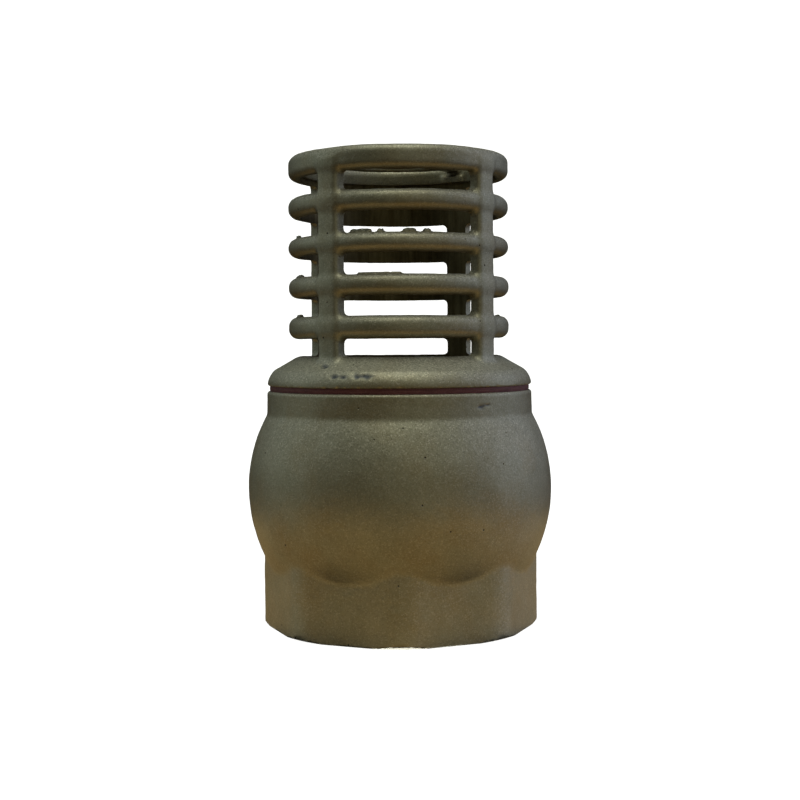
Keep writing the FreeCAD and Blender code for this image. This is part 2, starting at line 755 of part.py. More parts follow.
def check_and_export(parts):
    """Stop on any failed object or bad shape, then write one STEP file for each sub-part."""
    for item in doc.Objects:
        if "Invalid" in item.State or "Error" in item.State:
            raise RuntimeError(f"{item.Label} failed: {item.State}")
    for part in parts:
        if part.Shape.isNull() or not part.Shape.isValid():
            raise RuntimeError(f"{part.Label} has no valid shape")
    os.makedirs("parts", exist_ok=True)
    for part in parts:
        part.Shape.exportStep(f"parts/{part.Label}.step")
        box = part.Shape.BoundBox
        print(f"{part.Label:16s} {part.Shape.Volume:10.1f} mm3  z {box.ZMin:7.2f} to {box.ZMax:7.2f}")


doc.recompute()
check_and_export(build_all())
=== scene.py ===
"""Brass foot valve with a strainer cage, standing on its octagonal threaded end.

The castings are rebuilt here as dense meshes with soft casting blends and machined cuts.
Lengths in the modelling functions are millimetres, and make_mesh turns them into metres.
"""

import math
import random

import bpy
import numpy as np
import openvdb
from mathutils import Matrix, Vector, noise


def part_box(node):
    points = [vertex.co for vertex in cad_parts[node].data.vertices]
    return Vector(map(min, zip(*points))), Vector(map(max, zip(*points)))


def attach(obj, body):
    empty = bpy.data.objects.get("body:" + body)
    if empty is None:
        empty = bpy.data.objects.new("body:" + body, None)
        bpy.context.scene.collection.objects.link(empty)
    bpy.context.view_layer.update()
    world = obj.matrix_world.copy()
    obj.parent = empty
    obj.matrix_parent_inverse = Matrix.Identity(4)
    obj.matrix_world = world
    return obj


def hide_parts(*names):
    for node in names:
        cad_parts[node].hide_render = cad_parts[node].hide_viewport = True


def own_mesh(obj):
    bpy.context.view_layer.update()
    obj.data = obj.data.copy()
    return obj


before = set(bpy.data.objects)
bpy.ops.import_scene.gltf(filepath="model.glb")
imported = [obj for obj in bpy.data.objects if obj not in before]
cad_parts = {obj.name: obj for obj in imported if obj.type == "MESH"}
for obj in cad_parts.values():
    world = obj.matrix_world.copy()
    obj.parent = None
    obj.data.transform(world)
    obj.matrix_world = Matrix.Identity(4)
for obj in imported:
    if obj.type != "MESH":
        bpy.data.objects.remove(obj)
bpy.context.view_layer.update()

MM = 0.001


def node_box(node):
    """A CAD node's lowest and highest corner, in millimetres."""
    low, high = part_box(node)
    return low / MM, high / MM


# ---------------------------------------------------------------------------
# Driving sizes, in millimetres. Heights and outer sizes come from the frame.
# ---------------------------------------------------------------------------
BODY_TOP = node_box("valve_body")[1].z
BULB_RADIUS = 41.9
BULB_CENTRE = 37.7
OCTAGON_FLATS = 71.6
OCTAGON_CORNER = 12.0
OCTAGON_TOP = 26.0
OCTAGON_BLEND = 0.55
BASE_EDGE = 0.25
BASE_CONE_RADIUS = 36.3
BASE_CONE_SLOPE = 1.73
COLLAR_RADIUS = 36.75
COLLAR_TAPER = 0.15
COLLAR_FOOT = 57.7
COLLAR_BLEND = 0.35
COLLAR_EDGE = 0.7
PIPE_RADIUS = 28.33
PIPE_ENTRY_RADIUS = 30.3
PIPE_ENTRY_DEPTH = 2.0
THREAD_PITCH = 2.309
THREAD_DEPTH = 1.479
THREAD_FADE = (19.5, 21.6)
THREAD_END = 22.5
LEDGE_RADIUS = 25.5
LEDGE_TOP = 25.0
POCKET_RADIUS = 29.05
CHAMBER_FLOOR = 28.5
CHAMBER_RADIUS = 37.7
MOUTH_RADIUS = 32.5
MOUTH_BOTTOM = 54.3

CAGE_TURN = math.radians(51.4)
CAGE_BORE = 27.4
FLANGE_Z = node_box("flange_gasket")[1].z
FLANGE_RADIUS = 36.5
FLANGE_SHOULDER = 2.4
FLANGE_EDGE = 0.5
CONE_TOP_RADIUS = 27.9
CONE_TOP = 8.1
CONE_FOOT = 3.15
CONE_EDGE = 0.6
CONE_FILLET = 1.5
SKIRT_RADIUS = 32.45
SKIRT_LENGTH = 10.4
LIP_RADIUS = 28.8
LIP_HEIGHT = 1.0
POST_HALF = 3.4
POST_INNER = 25.0
POST_OUTER = 30.4
POST_FOOT = 5.0
POST_EDGE = 1.1
LATTICE_FILLET = 1.4
RING_INNER = 24.6
RING_OUTER = 30.5
RING_EDGE = 2.5
RING_HALVES = (3.0, 2.75, 2.55, 2.75)
FLASH_RADIUS = 27.9
RING_FIRST = 15.8
RING_PITCH = 11.03
END_RING = RING_FIRST + 4 * RING_PITCH
END_RING_HALF = 3.2
END_RING_INNER = 26.0
END_RING_EDGE = 2.15
BORE_END = 58.4
GRILLE_LOW = 61.45
GRILLE_HIGH = 63.05
GRILLE_ARM_HALF = 2.0
GRILLE_REACH = 28.0
GRILLE_FILLET = 1.2
GRILLE_EDGE = 0.6
GRILLE_BOSS = 4.6
GRILLE_RINGS = (10.0, 18.1)
GRILLE_RING_WIDTH = 3.1

SPIDER_THICKNESS = 3.0
SPIDER_RIM = (26.05, 28.95)
SPIDER_ARM_HALF = 1.8
SPIDER_ARM_END = 27.0
SPIDER_HUB_RADIUS = 7.0
SPIDER_HUB_MIDDLE = 3.75
SPIDER_HUB_HALF = 5.75
SPIDER_BORE = 5.2

GASKET_INNER = 32.7
GASKET_BULGE = 0.12

# Knocks on the front of the castings: x, z, half width and half height.
NICKS = [
    (-16.6, 68.95, 0.9, 0.5),
    (-14.6, 68.8, 0.8, 0.4),
    (-10.7, 69.1, 1.2, 0.65),
    (-8.4, 69.05, 1.2, 0.5),
    (-19.4, 71.4, 0.7, 0.45),
    (21.2, 60.8, 0.8, 0.45),
    (22.5, 61.3, 0.7, 0.3),
]
NICK_DEPTH = 0.3

# Unevenness of the castings: waves per millimetre, and height in millimetres.
CAST_WAVES = ((0.12, 0.10), (0.45, 0.045), (1.1, 0.03))


# ---------------------------------------------------------------------------
# Mesh helpers
# ---------------------------------------------------------------------------
def make_mesh(name, points, faces, body, replaces, materials, crease=35.0):
    """A smooth-shaded piece from points in millimetres, riding on a CAD body."""
    mesh = bpy.data.meshes.new(name)
    mesh.from_pydata([tuple(point) for point in np.asarray(points) * MM], [], faces)
    mesh.validate()
    piece = bpy.data.objects.new(name, mesh)
    bpy.context.scene.collection.objects.link(piece)
    for material in materials:
        mesh.materials.append(material)
    mesh.polygons.foreach_set("use_smooth", [True] * len(mesh.polygons))
    mesh.set_sharp_from_angle(angle=math.radians(crease))
    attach(piece, body)
    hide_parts(*replaces)
    return piece


def make_piece(name, points, faces, body, slot, node):
    """A piece all in its slot's material, in place of one CAD node."""
    return make_mesh(name, points, faces, body, (node,), (MATERIALS[slot],))


def directions(columns):
    """Evenly spaced directions once round the axis, in radians."""
    return np.arange(columns) * 2 * math.pi / columns


def circle(reach, z, theta):
    """A ring of points at a height. The reach may change with the direction."""
    return np.stack([reach * np.cos(theta), reach * np.sin(theta), z + theta * 0], axis=1)


def ring_grid_faces(rows, columns, closed_rows=True):
    """Quads of a grid of rows that each run once round the axis."""
    faces = []
    last = rows if closed_rows else rows - 1
    for row in range(last):
        low = row * columns
        high = ((row + 1) % rows) * columns
        for column in range(columns):
            after = (column + 1) % columns
            faces.append((low + column, low + after, high + after, high + column))
    return faces


def cast_offset(point, seed):
    """Unevenness of a sand casting at a point, in millimetres."""
    place = Vector(point) + Vector((seed, seed, seed))
    return sum(noise.noise(place * rate) * height for rate, height in CAST_WAVES)


# ---------------------------------------------------------------------------
# Distance fields, for the blended castings of the cage and the guide spider
# ---------------------------------------------------------------------------
def union_round(a, b, radius):
    """Join two fields with a fillet."""
    u = np.maximum(radius - a, 0.0)
    v = np.maximum(radius - b, 0.0)
    return np.maximum(radius, np.minimum(a, b)) - np.sqrt(u * u + v * v)


def common_round(a, b, radius):
    """Keep what two fields share, with a rounded edge."""
    u = np.maximum(radius + a, 0.0)
    v = np.maximum(radius + b, 0.0)
    return np.minimum(-radius, np.maximum(a, b)) + np.sqrt(u * u + v * v)


def box_2d(across, up, low, high, half_height, radius):
    """A rounded rectangle from low to high across and half_height each way up."""
    middle = (low + high) / 2
    dx = np.abs(across - middle) - (high - low) / 2 + radius
    dy = np.abs(up) - half_height + radius
    outside = np.sqrt(np.maximum(dx, 0) ** 2 + np.maximum(dy, 0) ** 2)
    return outside + np.minimum(np.maximum(dx, dy), 0) - radius


def flash_stubs():
    """Broken stubs of casting flash on the rings: (ring, middle angle, half length, height)."""
    stubs = [(1, -5.0, 5.9, 0.5), (2, -10.0, 2.9, 1.0), (2, -4.5, 0.8, 0.95)]
    stubs += [(2, 3.0, 1.7, 1.0), (2, 7.6, 0.95, 0.95)]
    stubs = [(ring, -math.pi / 2 + arc / FLASH_RADIUS, half, up) for ring, arc, half, up in stubs]
    dice = random.Random(4)
    for ring in range(3):
        for _ in range(5):
            angle = dice.uniform(-0.6, math.pi + 0.6)
            stubs.append((ring, angle, dice.uniform(0.5, 3.0), dice.uniform(0.3, 0.8)))
    return stubs


def flash_field(x, y, z, tops):
    """Distance to the stubs of flash, which stand on the inner top edge of the rings."""
    angle = np.arctan2(y, x) + CAGE_TURN
    off_edge = np.abs(np.sqrt(x * x + y * y) - FLASH_RADIUS) - 0.5
    field = np.full_like(off_edge, 1e3)
    for ring, middle, half, height in flash_stubs():
        turn = (angle - middle + math.pi) % (2 * math.pi) - math.pi
        along = np.abs(turn) * FLASH_RADIUS - half
        up = np.maximum(z - tops[ring] - height, tops[ring] - 1.0 - z)
        field = np.minimum(field, np.maximum(np.maximum(off_edge, along), up))
    return field


def cage_field(x, y, z):
    """Distance to the surface of the cage's casting, before it is bored."""
    r = np.sqrt(x * x + y * y)
    along = np.maximum(np.abs(x), np.abs(y))
    beside = np.minimum(np.abs(x), np.abs(y))

    slope = np.array([CONE_TOP - CONE_FOOT, FLANGE_RADIUS - CONE_TOP_RADIUS])
    slope /= np.linalg.norm(slope)
    cone = (r - CONE_TOP_RADIUS) * slope[0] + (z - CONE_TOP) * slope[1]
    flange = common_round(cone, r - FLANGE_RADIUS, FLANGE_SHOULDER)
    flange = common_round(flange, -z, FLANGE_EDGE)
    flange = common_round(flange, z - CONE_TOP, CONE_EDGE)
    skirt = np.maximum(np.maximum(r - SKIRT_RADIUS, -SKIRT_LENGTH - z), z - 1.0)
    lip = np.maximum(np.maximum(r - LIP_RADIUS, -SKIRT_LENGTH - LIP_HEIGHT - z), z)
    foot = np.minimum(flange, np.minimum(skirt, lip))

    posts = common_round(r - POST_OUTER, beside - POST_HALF, POST_EDGE)
    posts = np.maximum(posts, POST_INNER - along)
    posts = np.maximum(posts, np.maximum(POST_FOOT - z, z - END_RING))

    index = np.clip(np.round((z - RING_FIRST) / RING_PITCH), 0, 3)
    half = np.array(RING_HALVES)[index.astype(int)]
    up = z - RING_FIRST - index * RING_PITCH
    rings = box_2d(r, up, RING_INNER, RING_OUTER, half, RING_EDGE)
    tops = [RING_FIRST + ring * RING_PITCH + RING_HALVES[ring] for ring in range(4)]
    rings = np.minimum(rings, flash_field(x, y, z, tops))
    up = z - END_RING
    end_ring = box_2d(r, up, END_RING_INNER, RING_OUTER, END_RING_HALF, END_RING_EDGE)
    lattice = union_round(posts, rings, LATTICE_FILLET)
    lattice = union_round(lattice, end_ring, LATTICE_FILLET)

    level = np.maximum(GRILLE_LOW - z, z - GRILLE_HIGH)
    arms = np.maximum(beside - GRILLE_ARM_HALF, along - GRILLE_REACH)
    plan = union_round(arms, r - GRILLE_BOSS, GRILLE_FILLET)
    for inner in GRILLE_RINGS:
        middle = inner + GRILLE_RING_WIDTH / 2
        plan = union_round(plan, np.abs(r - middle) - GRILLE_RING_WIDTH / 2, GRILLE_FILLET)
    grille = common_round(plan, level, GRILLE_EDGE)
    return union_round(union_round(lattice, foot, CONE_FILLET), grille, 0.8)


def field_mesh(field, low, high, step):
    """Points on a field's zero level, its quads, and how deep in a hollow each point is, which
    sets its painted shade.
    """
    axes = [np.arange(a, b + step, step) for a, b in zip(low, high)]
    x, y, z = np.meshgrid(*axes, indexing="ij")
    grid = openvdb.FloatGrid(background=3.0)
    grid.copyFromArray(field(x, y, z).astype(np.float32))
    points, quads = grid.convertToQuads(isovalue=0.0)
    points = points.astype(float) * step + np.array([axis[0] for axis in axes])
    reach = 0.05
    for _ in range(3):
        here = field(*points.T)
        slopes = []
        for axis in range(3):
            shift = np.zeros(3)
            shift[axis] = reach
            ahead = field(*(points + shift).T)
            behind = field(*(points - shift).T)
            slopes.append((ahead - behind) / (2 * reach))
        gradient = np.stack(slopes, axis=1)
        length = np.maximum(np.linalg.norm(gradient, axis=1), 0.3)
        move = np.clip(here / length, -0.3, 0.3)
        points -= gradient / length[:, None] * move[:, None]
    normals = gradient / length[:, None]
    # How hemmed in each point is, read from the field a little way out along its normal; this sets
    # painted shade in hollows.
    open_air = [field(*(points + normals * reach).T) / reach for reach in (1.0, 2.5)]
    occlusion_shade = np.clip(1.0 - np.mean(open_air, axis=0), 0, 1)
    return points, [tuple(quad) for quad in quads.tolist()], occlusion_shade


def nick_depth(points):
    """How deep the knocks on the front are at each point, from 0 to 1."""
    depth = np.zeros(len(points))
    skin = np.where(points[:, 2] > FLANGE_Z, CAGE_BORE + 1.5, MOUTH_RADIUS + 1.5)
    outside = (points[:, 1] < 0) & (np.linalg.norm(points[:, :2], axis=1) > skin)
    ragged = np.array([noise.noise(Vector(point) * 1.3) for point in points])
    for x, z, half_width, half_height in NICKS:
        across = (points[:, 0] - x) / half_width
        up = (points[:, 2] - z) / half_height
        knock = np.clip(1.5 - np.sqrt(across**2 + up**2) + 0.9 * ragged, 0, 1)
        depth = np.maximum(depth, np.where(outside, knock, 0))
    return depth


def paint(piece, name, values):
    """Store one number for each point of a piece, for its material to read."""
    layer = piece.data.attributes.new(name, "FLOAT", "POINT")
    layer.data.foreach_set("value", np.asarray(values, np.float32))


def upwardness(piece):
    """How far each point's normal looks up, from -1 to 1."""
    normals = np.empty(len(piece.data.vertices) * 3, np.float32)
    piece.data.vertex_normals.foreach_get("vector", normals)
    return normals[2::3]


def paint_top_light_and_dust(piece, shelter=0.0):
    """Paint the faces that look up lighter and greyer, as painted top light with pale dust; less
    where something shelters them.
    """
    facing = np.clip((upwardness(piece) - 0.1) / 0.6, 0, 1)
    paint(piece, "dust", facing * (1 - np.clip(np.asarray(shelter) * 1.5, 0, 1)))


# ---------------------------------------------------------------------------
# Materials
# ---------------------------------------------------------------------------
class Nodes:
    """A short way to build a material's node tree."""

    def __init__(self, name):
        self.material = bpy.data.materials.new(name)
        self.material.use_nodes = True
        self.tree = self.material.node_tree
        self.shader = next(n for n in self.tree.nodes if n.type == "BSDF_PRINCIPLED")
        self.place = self.add("ShaderNodeTexCoord").outputs["Object"]

    def add(self, kind, **values):
        """A node with its properties set."""
        node = self.tree.nodes.new(kind)
        for key, value in values.items():
            setattr(node, key, value)
        return node

    def link(self, output, target):
        """Join an output to an input."""
        self.tree.links.new(output, target)

    def put(self, value, target):
        """Give an input a number, a colour or another node's output."""
        if isinstance(value, (int, float)):
            target.default_value = value
        elif isinstance(value, tuple):
            target.default_value = (*value, 1.0)
        else:
            self.link(value, target)

    def noise(self, size, detail=4.0, roughness=0.55, stretch=None):
        """Noise whose features are about size millimetres across."""
        node = self.add("ShaderNodeTexNoise")
        node.inputs["Scale"].default_value = 1.0 / (size * MM)
        node.inputs["Detail"].default_value = detail
        node.inputs["Roughness"].default_value = roughness
        source = self.place
        if stretch:
            mapping = self.add("ShaderNodeMapping")
            mapping.inputs["Scale"].default_value = stretch
            self.link(source, mapping.inputs["Vector"])
            source = mapping.outputs["Vector"]
        self.link(source, node.inputs["Vector"])
        return node.outputs["Fac"]

    def flecks(self, size):
        """A random number for each grain about size millimetres across."""
        cells = self.add("ShaderNodeTexVoronoi")
        cells.inputs["Scale"].default_value = 1.0 / (size * MM)
        self.link(self.place, cells.inputs["Vector"])
        split = self.add("ShaderNodeSeparateColor")
        self.link(cells.outputs["Color"], split.inputs["Color"])
        return split.outputs["Red"]

    def pits(self, spacing, radius):
        """A mask of scattered pits of a radius, both in millimetres."""
        cells = self.add("ShaderNodeTexVoronoi")
        cells.inputs["Scale"].default_value = 1.0 / (spacing * MM)
        self.link(self.place, cells.inputs["Vector"])
        edge = radius / spacing
        return self.scale(cells.outputs["Distance"], 1.0, 0.0, edge * 0.6, edge)

    def attribute(self, name):
        """A number painted on the mesh."""
        node = self.add("ShaderNodeAttribute", attribute_name=name)
        return node.outputs["Fac"]

    def ramp(self, source, stops):
        """A colour ramp over (position, colour) stops."""
        node = self.add("ShaderNodeValToRGB")
        elements = node.color_ramp.elements
        while len(elements) < len(stops):
            elements.new(0.5)
        for element, (position, colour) in zip(elements, stops):
            element.position = position
            element.color = (*colour, 1.0)
        self.link(source, node.inputs["Fac"])
        return node.outputs["Color"]

    def scale(self, source, low, high, start=0.0, end=1.0):
        """Map start..end of a value to low..high."""
        node = self.add("ShaderNodeMapRange")
        for name, value in (
            ("From Min", start),
            ("From Max", end),
            ("To Min", low),
            ("To Max", high),
        ):
            node.inputs[name].default_value = value
        self.link(source, node.inputs["Value"])
        return node.outputs["Result"]

    def math(self, operation, first, second):
        """One sum on two values, each an output or a number."""
        node = self.add("ShaderNodeMath", operation=operation)
        for target, value in zip(node.inputs, (first, second)):
            self.put(value, target)
        return node.outputs[0]

    def mix(self, factor, first, second):
        """Mix two colours, each an output or a colour, by another node's output."""
        node = self.add("ShaderNodeMix", data_type="RGBA")
        sockets = [socket for socket in node.inputs if socket.type == "RGBA"]
        for target, value in zip(sockets, (first, second)):
            self.put(value, target)
        self.link(factor, node.inputs[0])
        return next(socket for socket in node.outputs if socket.type == "RGBA")

    def bump(self, height, depth, strength, after=None):
        """A bump of a height in millimetres, over another bump if given."""
        node = self.add("ShaderNodeBump")
        node.inputs["Strength"].default_value = strength
        node.inputs["Distance"].default_value = depth * MM
        self.link(height, node.inputs["Height"])
        if after:
            self.link(after, node.inputs["Normal"])
        return node.outputs["Normal"]

    def finish(self, colour, roughness, normal=None, metallic=1.0):
        """Set the shader's main inputs and return the material."""
        inputs = self.shader.inputs
        self.put(colour, inputs["Base Color"])
        self.put(roughness, inputs["Roughness"])
        self.put(metallic, inputs["Metallic"])
        if normal:
            self.link(normal, inputs["Normal"])
        return self.material


def cast_brass():
    """Shot-blasted brass casting: olive grey-gold, peened all over with a fine grain with painted
    sparkle highlights, painted top light with pale dust on faces that look up, and painted shade
    in hollows and underneath.
    """
    n = Nodes("cast_brass")
    grain = n.noise(0.45, detail=5.0, roughness=0.7)
    blotch = n.noise(9.0, detail=3.0)
    tone = n.ramp(blotch, [(0.3, (0.37, 0.36, 0.25)), (0.7, (0.44, 0.425, 0.305))])
    patina = n.noise(16.0, detail=5.0, roughness=0.6)
    tone = n.mix(n.scale(patina, 0.0, 0.5, 0.45, 0.7), tone, (0.38, 0.30, 0.155))
    # The dust attribute is painted top light with pale dust: faces that look up are painted
    # lighter and greyer.
    dust = n.math("MULTIPLY", n.attribute("dust"), n.scale(patina, 1.0, 0.7, 0.4, 0.7))
    tone = n.mix(n.scale(dust, 0.0, 0.6), tone, (0.62, 0.62, 0.54))
    # Painted glint flecks: bright specks in the colour, stronger on faces that look up.
    painted_glints = n.scale(n.flecks(0.28), 0.0, 0.8, 0.68, 1.0)
    painted_glint_amount = n.math("MULTIPLY", painted_glints, n.scale(dust, 0.3, 1.0))
    colour = n.mix(painted_glint_amount, tone, (0.92, 0.89, 0.76))
    specks = n.scale(n.flecks(0.33), 0.0, 0.6, 0.68, 1.0)
    shade = n.math("MULTIPLY", specks, n.scale(dust, 0.45, 1.0))
    colour = n.mix(shade, colour, (0.17, 0.155, 0.11))
    pits = n.pits(5.0, 0.3)
    colour = n.mix(pits, colour, (0.05, 0.045, 0.035))
    # Painted shade: the colour is darkened in hollows and on the downward faces of the cage.
    occlusion_shade = n.attribute("occlusion_shade")
    painted_shade = n.scale(occlusion_shade, 0.0, 0.75, 0.25, 0.85)
    colour = n.mix(painted_shade, colour, (0.13, 0.105, 0.06))
    colour = n.mix(n.attribute("nick"), colour, (0.11, 0.125, 0.15))
    roughness = n.math("ADD", n.scale(grain, 0.48, 0.36, 0.3, 0.7), n.scale(dust, 0.0, 0.08))
    peened = n.bump(grain, 0.06, 0.85)
    normal = n.bump(n.noise(1.0, detail=2.0), 0.08, 0.6, after=peened)
    normal = n.bump(n.scale(pits, 1.0, 0.0), 0.15, 0.8, after=normal)
    return n.finish(colour, roughness, normal, metallic=n.scale(dust, 0.7, 0.45))


def machined_brass():
    """Turned brass: brighter and yellower, with fine tool rings."""
    n = Nodes("machined_brass")
    tool = n.noise(0.35, detail=3.0, stretch=(0.02, 0.02, 1.0))
    haze = n.noise(5.0, detail=3.0)
    colour = n.ramp(haze, [(0.3, (0.40, 0.32, 0.16)), (0.75, (0.50, 0.41, 0.23))])
    roughness = n.scale(tool, 0.24, 0.42)
    normal = n.bump(tool, 0.03, 0.5)
    return n.finish(colour, roughness, normal)


def shaded_bored_brass():
    """The cage's bored wall: painted dark brown as shade inside the cage, and drawn into
    lengthwise streaks.
    """
    n = Nodes("shaded_bored_brass")
    streaks = n.noise(1.6, detail=5.0, roughness=0.6, stretch=(1.0, 1.0, 0.08))
    stains = n.noise(6.0, detail=4.0)
    # Painted shade: the bored wall is coloured dark brown for the shade inside the cage.
    colour = n.ramp(streaks, [(0.35, (0.15, 0.115, 0.05)), (0.7, (0.30, 0.25, 0.13))])
    colour = n.mix(n.scale(stains, 0.0, 0.6, 0.4, 0.7), colour, (0.09, 0.07, 0.035))
    roughness = n.scale(streaks, 0.24, 0.40)
    normal = n.bump(streaks, 0.03, 0.6)
    return n.finish(colour, roughness, normal)


def red_fibre():
    """Dark red vulcanised fibre, layered along its edge."""
    n = Nodes("red_fibre")
    layers = n.noise(0.5, detail=4.0, stretch=(0.12, 0.12, 2.4))
    fibres = n.noise(0.3, detail=4.0, roughness=0.7)
    colour = n.ramp(layers, [(0.3, (0.10, 0.024, 0.026)), (0.7, (0.23, 0.08, 0.085))])
    colour = n.mix(n.scale(fibres, 0.0, 0.4, 0.5, 0.8), colour, (0.42, 0.23, 0.24))
    normal = n.bump(layers, 0.08, 0.8)
    return n.finish(colour, 0.55, normal, metallic=0.0)


def nbr_rubber():
    """Black moulded rubber."""
    n = Nodes("nbr_rubber")
    dust = n.noise(1.2, detail=4.0)
    colour = n.ramp(dust, [(0.3, (0.016, 0.016, 0.017)), (0.8, (0.04, 0.04, 0.042))])
    roughness = n.scale(dust, 0.5, 0.72)
    normal = n.bump(n.noise(0.4), 0.02, 0.5)
    return n.finish(colour, roughness, normal, metallic=0.0)


def stainless_steel():
    """Bright drawn stainless steel with fine lengthwise scratches."""
    n = Nodes("stainless_steel")
    scratch = n.noise(0.3, detail=4.0, stretch=(1.0, 1.0, 0.15))
    haze = n.noise(4.0)
    colour = n.ramp(haze, [(0.3, (0.5, 0.5, 0.49)), (0.75, (0.64, 0.64, 0.62))])
    roughness = n.scale(scratch, 0.2, 0.38)
    normal = n.bump(scratch, 0.012, 0.5)
    return n.finish(colour, roughness, normal)


def ptfe():
    """White PTFE, slightly translucent, with turning marks."""
    n = Nodes("ptfe")
    cloud = n.noise(2.5)
    colour = n.ramp(cloud, [(0.3, (0.74, 0.73, 0.69)), (0.75, (0.84, 0.84, 0.81))])
    tool = n.noise(0.3, stretch=(0.02, 0.02, 1.0))
    normal = n.bump(tool, 0.02, 0.5)
    return n.finish(colour, 0.42, normal, metallic=0.0)


MATERIALS = {
    "cast_brass": cast_brass(),
    "machined_brass": machined_brass(),
    "shaded_bored_brass": shaded_bored_brass(),
    "red_fibre": red_fibre(),
    "nbr_rubber": nbr_rubber(),
    "stainless_steel": stainless_steel(),
    "ptfe": ptfe(),
}


# ---------------------------------------------------------------------------
# The valve body
# ---------------------------------------------------------------------------
COLUMNS = 400
CAST, CUT = 0, 1


def octagon_reach(theta):
    """Distance from the axis to the rounded octagon, for each direction."""
    flat = OCTAGON_FLATS / 2
    half = math.radians(22.5)
    away = np.abs((theta + half) % (2 * half) - half)
    away = half - np.minimum(away, 2 * half - away)
    centre = (flat - OCTAGON_CORNER) / math.cos(half)
    corner_angle = half - away
    inside = OCTAGON_CORNER**2 - (centre * np.sin(corner_angle)) ** 2
    rounded = centre * np.cos(corner_angle) + np.sqrt(np.maximum(inside, 0))
    start = math.atan((flat - OCTAGON_CORNER) * math.tan(half) / flat)
    return np.where(away > start, rounded, flat / np.cos(away))


def soft_max(a, b, width):
    """The larger of two values, blended where they are close."""
    h = np.clip(0.5 + 0.5 * (a - b) / width, 0, 1)
    return b * (1 - h) + a * h + width * h * (1 - h)


def thread_reach(theta, z):
    """Radius of the pipe thread's helix at a height, for each direction."""
    turn = (z - THREAD_PITCH * theta / (2 * math.pi)) / THREAD_PITCH
    wave = 0.5 - 0.5 * np.cos(2 * math.pi * turn)
    sharp = np.clip(1.25 * (wave - 0.5) + 0.5, 0, 1)
    fade = np.clip((THREAD_FADE[1] - z) / (THREAD_FADE[1] - THREAD_FADE[0]), 0, 1)
    return PIPE_RADIUS + THREAD_DEPTH * sharp * fade


def sphere_reach(radius, z):
    """Radius of a sphere about the bulb's centre at a height."""
    return math.sqrt(max(radius**2 - (z - BULB_CENTRE) ** 2, 0))


def outer_reach(theta, z):
    """The casting's outside at a height: octagon, bulb and collar blended together."""
    bulb = np.full_like(theta, sphere_reach(BULB_RADIUS, z))
    if z < BULB_CENTRE:
        prism = octagon_reach(theta) if z < OCTAGON_TOP else np.zeros_like(theta)
        return soft_max(bulb, prism, OCTAGON_BLEND)
    collar = COLLAR_RADIUS - COLLAR_TAPER * (z - COLLAR_FOOT) / (BODY_TOP - COLLAR_FOOT)
    return soft_max(bulb, np.full_like(theta, collar), COLLAR_BLEND)


def body_rows(theta):
    """The body's closed section as rows of (reach, height, kind), anticlockwise from the base."""
    one = np.ones_like(theta)
    octagon = octagon_reach(theta)
    rows = []

    def add(reach, height, kind):
        rows.append((reach * one, height * one, kind))

    foot = np.minimum(octagon - BASE_EDGE, BASE_CONE_RADIUS)
    for share in (0.0, 0.3, 0.6, 0.85):
        add(PIPE_ENTRY_RADIUS * (1 - share) + foot * share, 0.0, CUT)
    add(foot, 0.0, CAST)
    for z in (0.25, 0.5, 0.75):
        add(np.minimum(octagon, BASE_CONE_RADIUS + BASE_CONE_SLOPE * z), z, CAST)
    heights = list(np.arange(1.0, 11.0, 1.0))
    heights += list(np.arange(11.0, 23.0, 0.5))
    heights += list(np.arange(23.0, 54.5, 0.75))
    heights += list(np.arange(54.5, BODY_TOP - 0.75, 0.45))
    for z in heights:
        add(outer_reach(theta, z), z, CAST)
    rim = COLLAR_RADIUS - COLLAR_TAPER
    for angle in np.radians([0, 30, 60, 90]):
        drop = COLLAR_EDGE * (1 - math.sin(angle))
        add(rim - COLLAR_EDGE * (1 - math.cos(angle)), BODY_TOP - drop, CAST)
    for reach in (35.2, 34.0, 33.0):
        add(reach, BODY_TOP, CUT)
    add(MOUTH_RADIUS, BODY_TOP - 0.5, CUT)
    for z in np.linspace(BODY_TOP - 2.5, MOUTH_BOTTOM, 6):
        add(MOUTH_RADIUS, z, CUT)
    for z in np.linspace(MOUTH_BOTTOM, CHAMBER_FLOOR, 22):
        add(sphere_reach(CHAMBER_RADIUS, z), z, CAST)
    for reach in (35.2, 33.0, 31.0):
        add(reach, CHAMBER_FLOOR, CAST)
    add(POCKET_RADIUS + 0.3, CHAMBER_FLOOR, CUT)
    add(POCKET_RADIUS, CHAMBER_FLOOR - 0.3, CUT)
    add(POCKET_RADIUS, 26.5, CUT)
    add(POCKET_RADIUS, LEDGE_TOP, CUT)
    add(27.2, LEDGE_TOP, CUT)
    add(LEDGE_RADIUS + 0.3, LEDGE_TOP, CUT)
    add(LEDGE_RADIUS, LEDGE_TOP - 0.3, CUT)
    add(LEDGE_RADIUS, THREAD_END + 0.3, CUT)
    add(LEDGE_RADIUS + 0.3, THREAD_END, CUT)
    add(27.0, THREAD_END, CUT)
    for z in np.arange(THREAD_END, 0.2, -THREAD_PITCH / 9):
        entry = PIPE_ENTRY_RADIUS - (PIPE_ENTRY_RADIUS - PIPE_RADIUS) * z / PIPE_ENTRY_DEPTH
        add(np.maximum(thread_reach(theta, z), entry), z, CUT)
    return rows


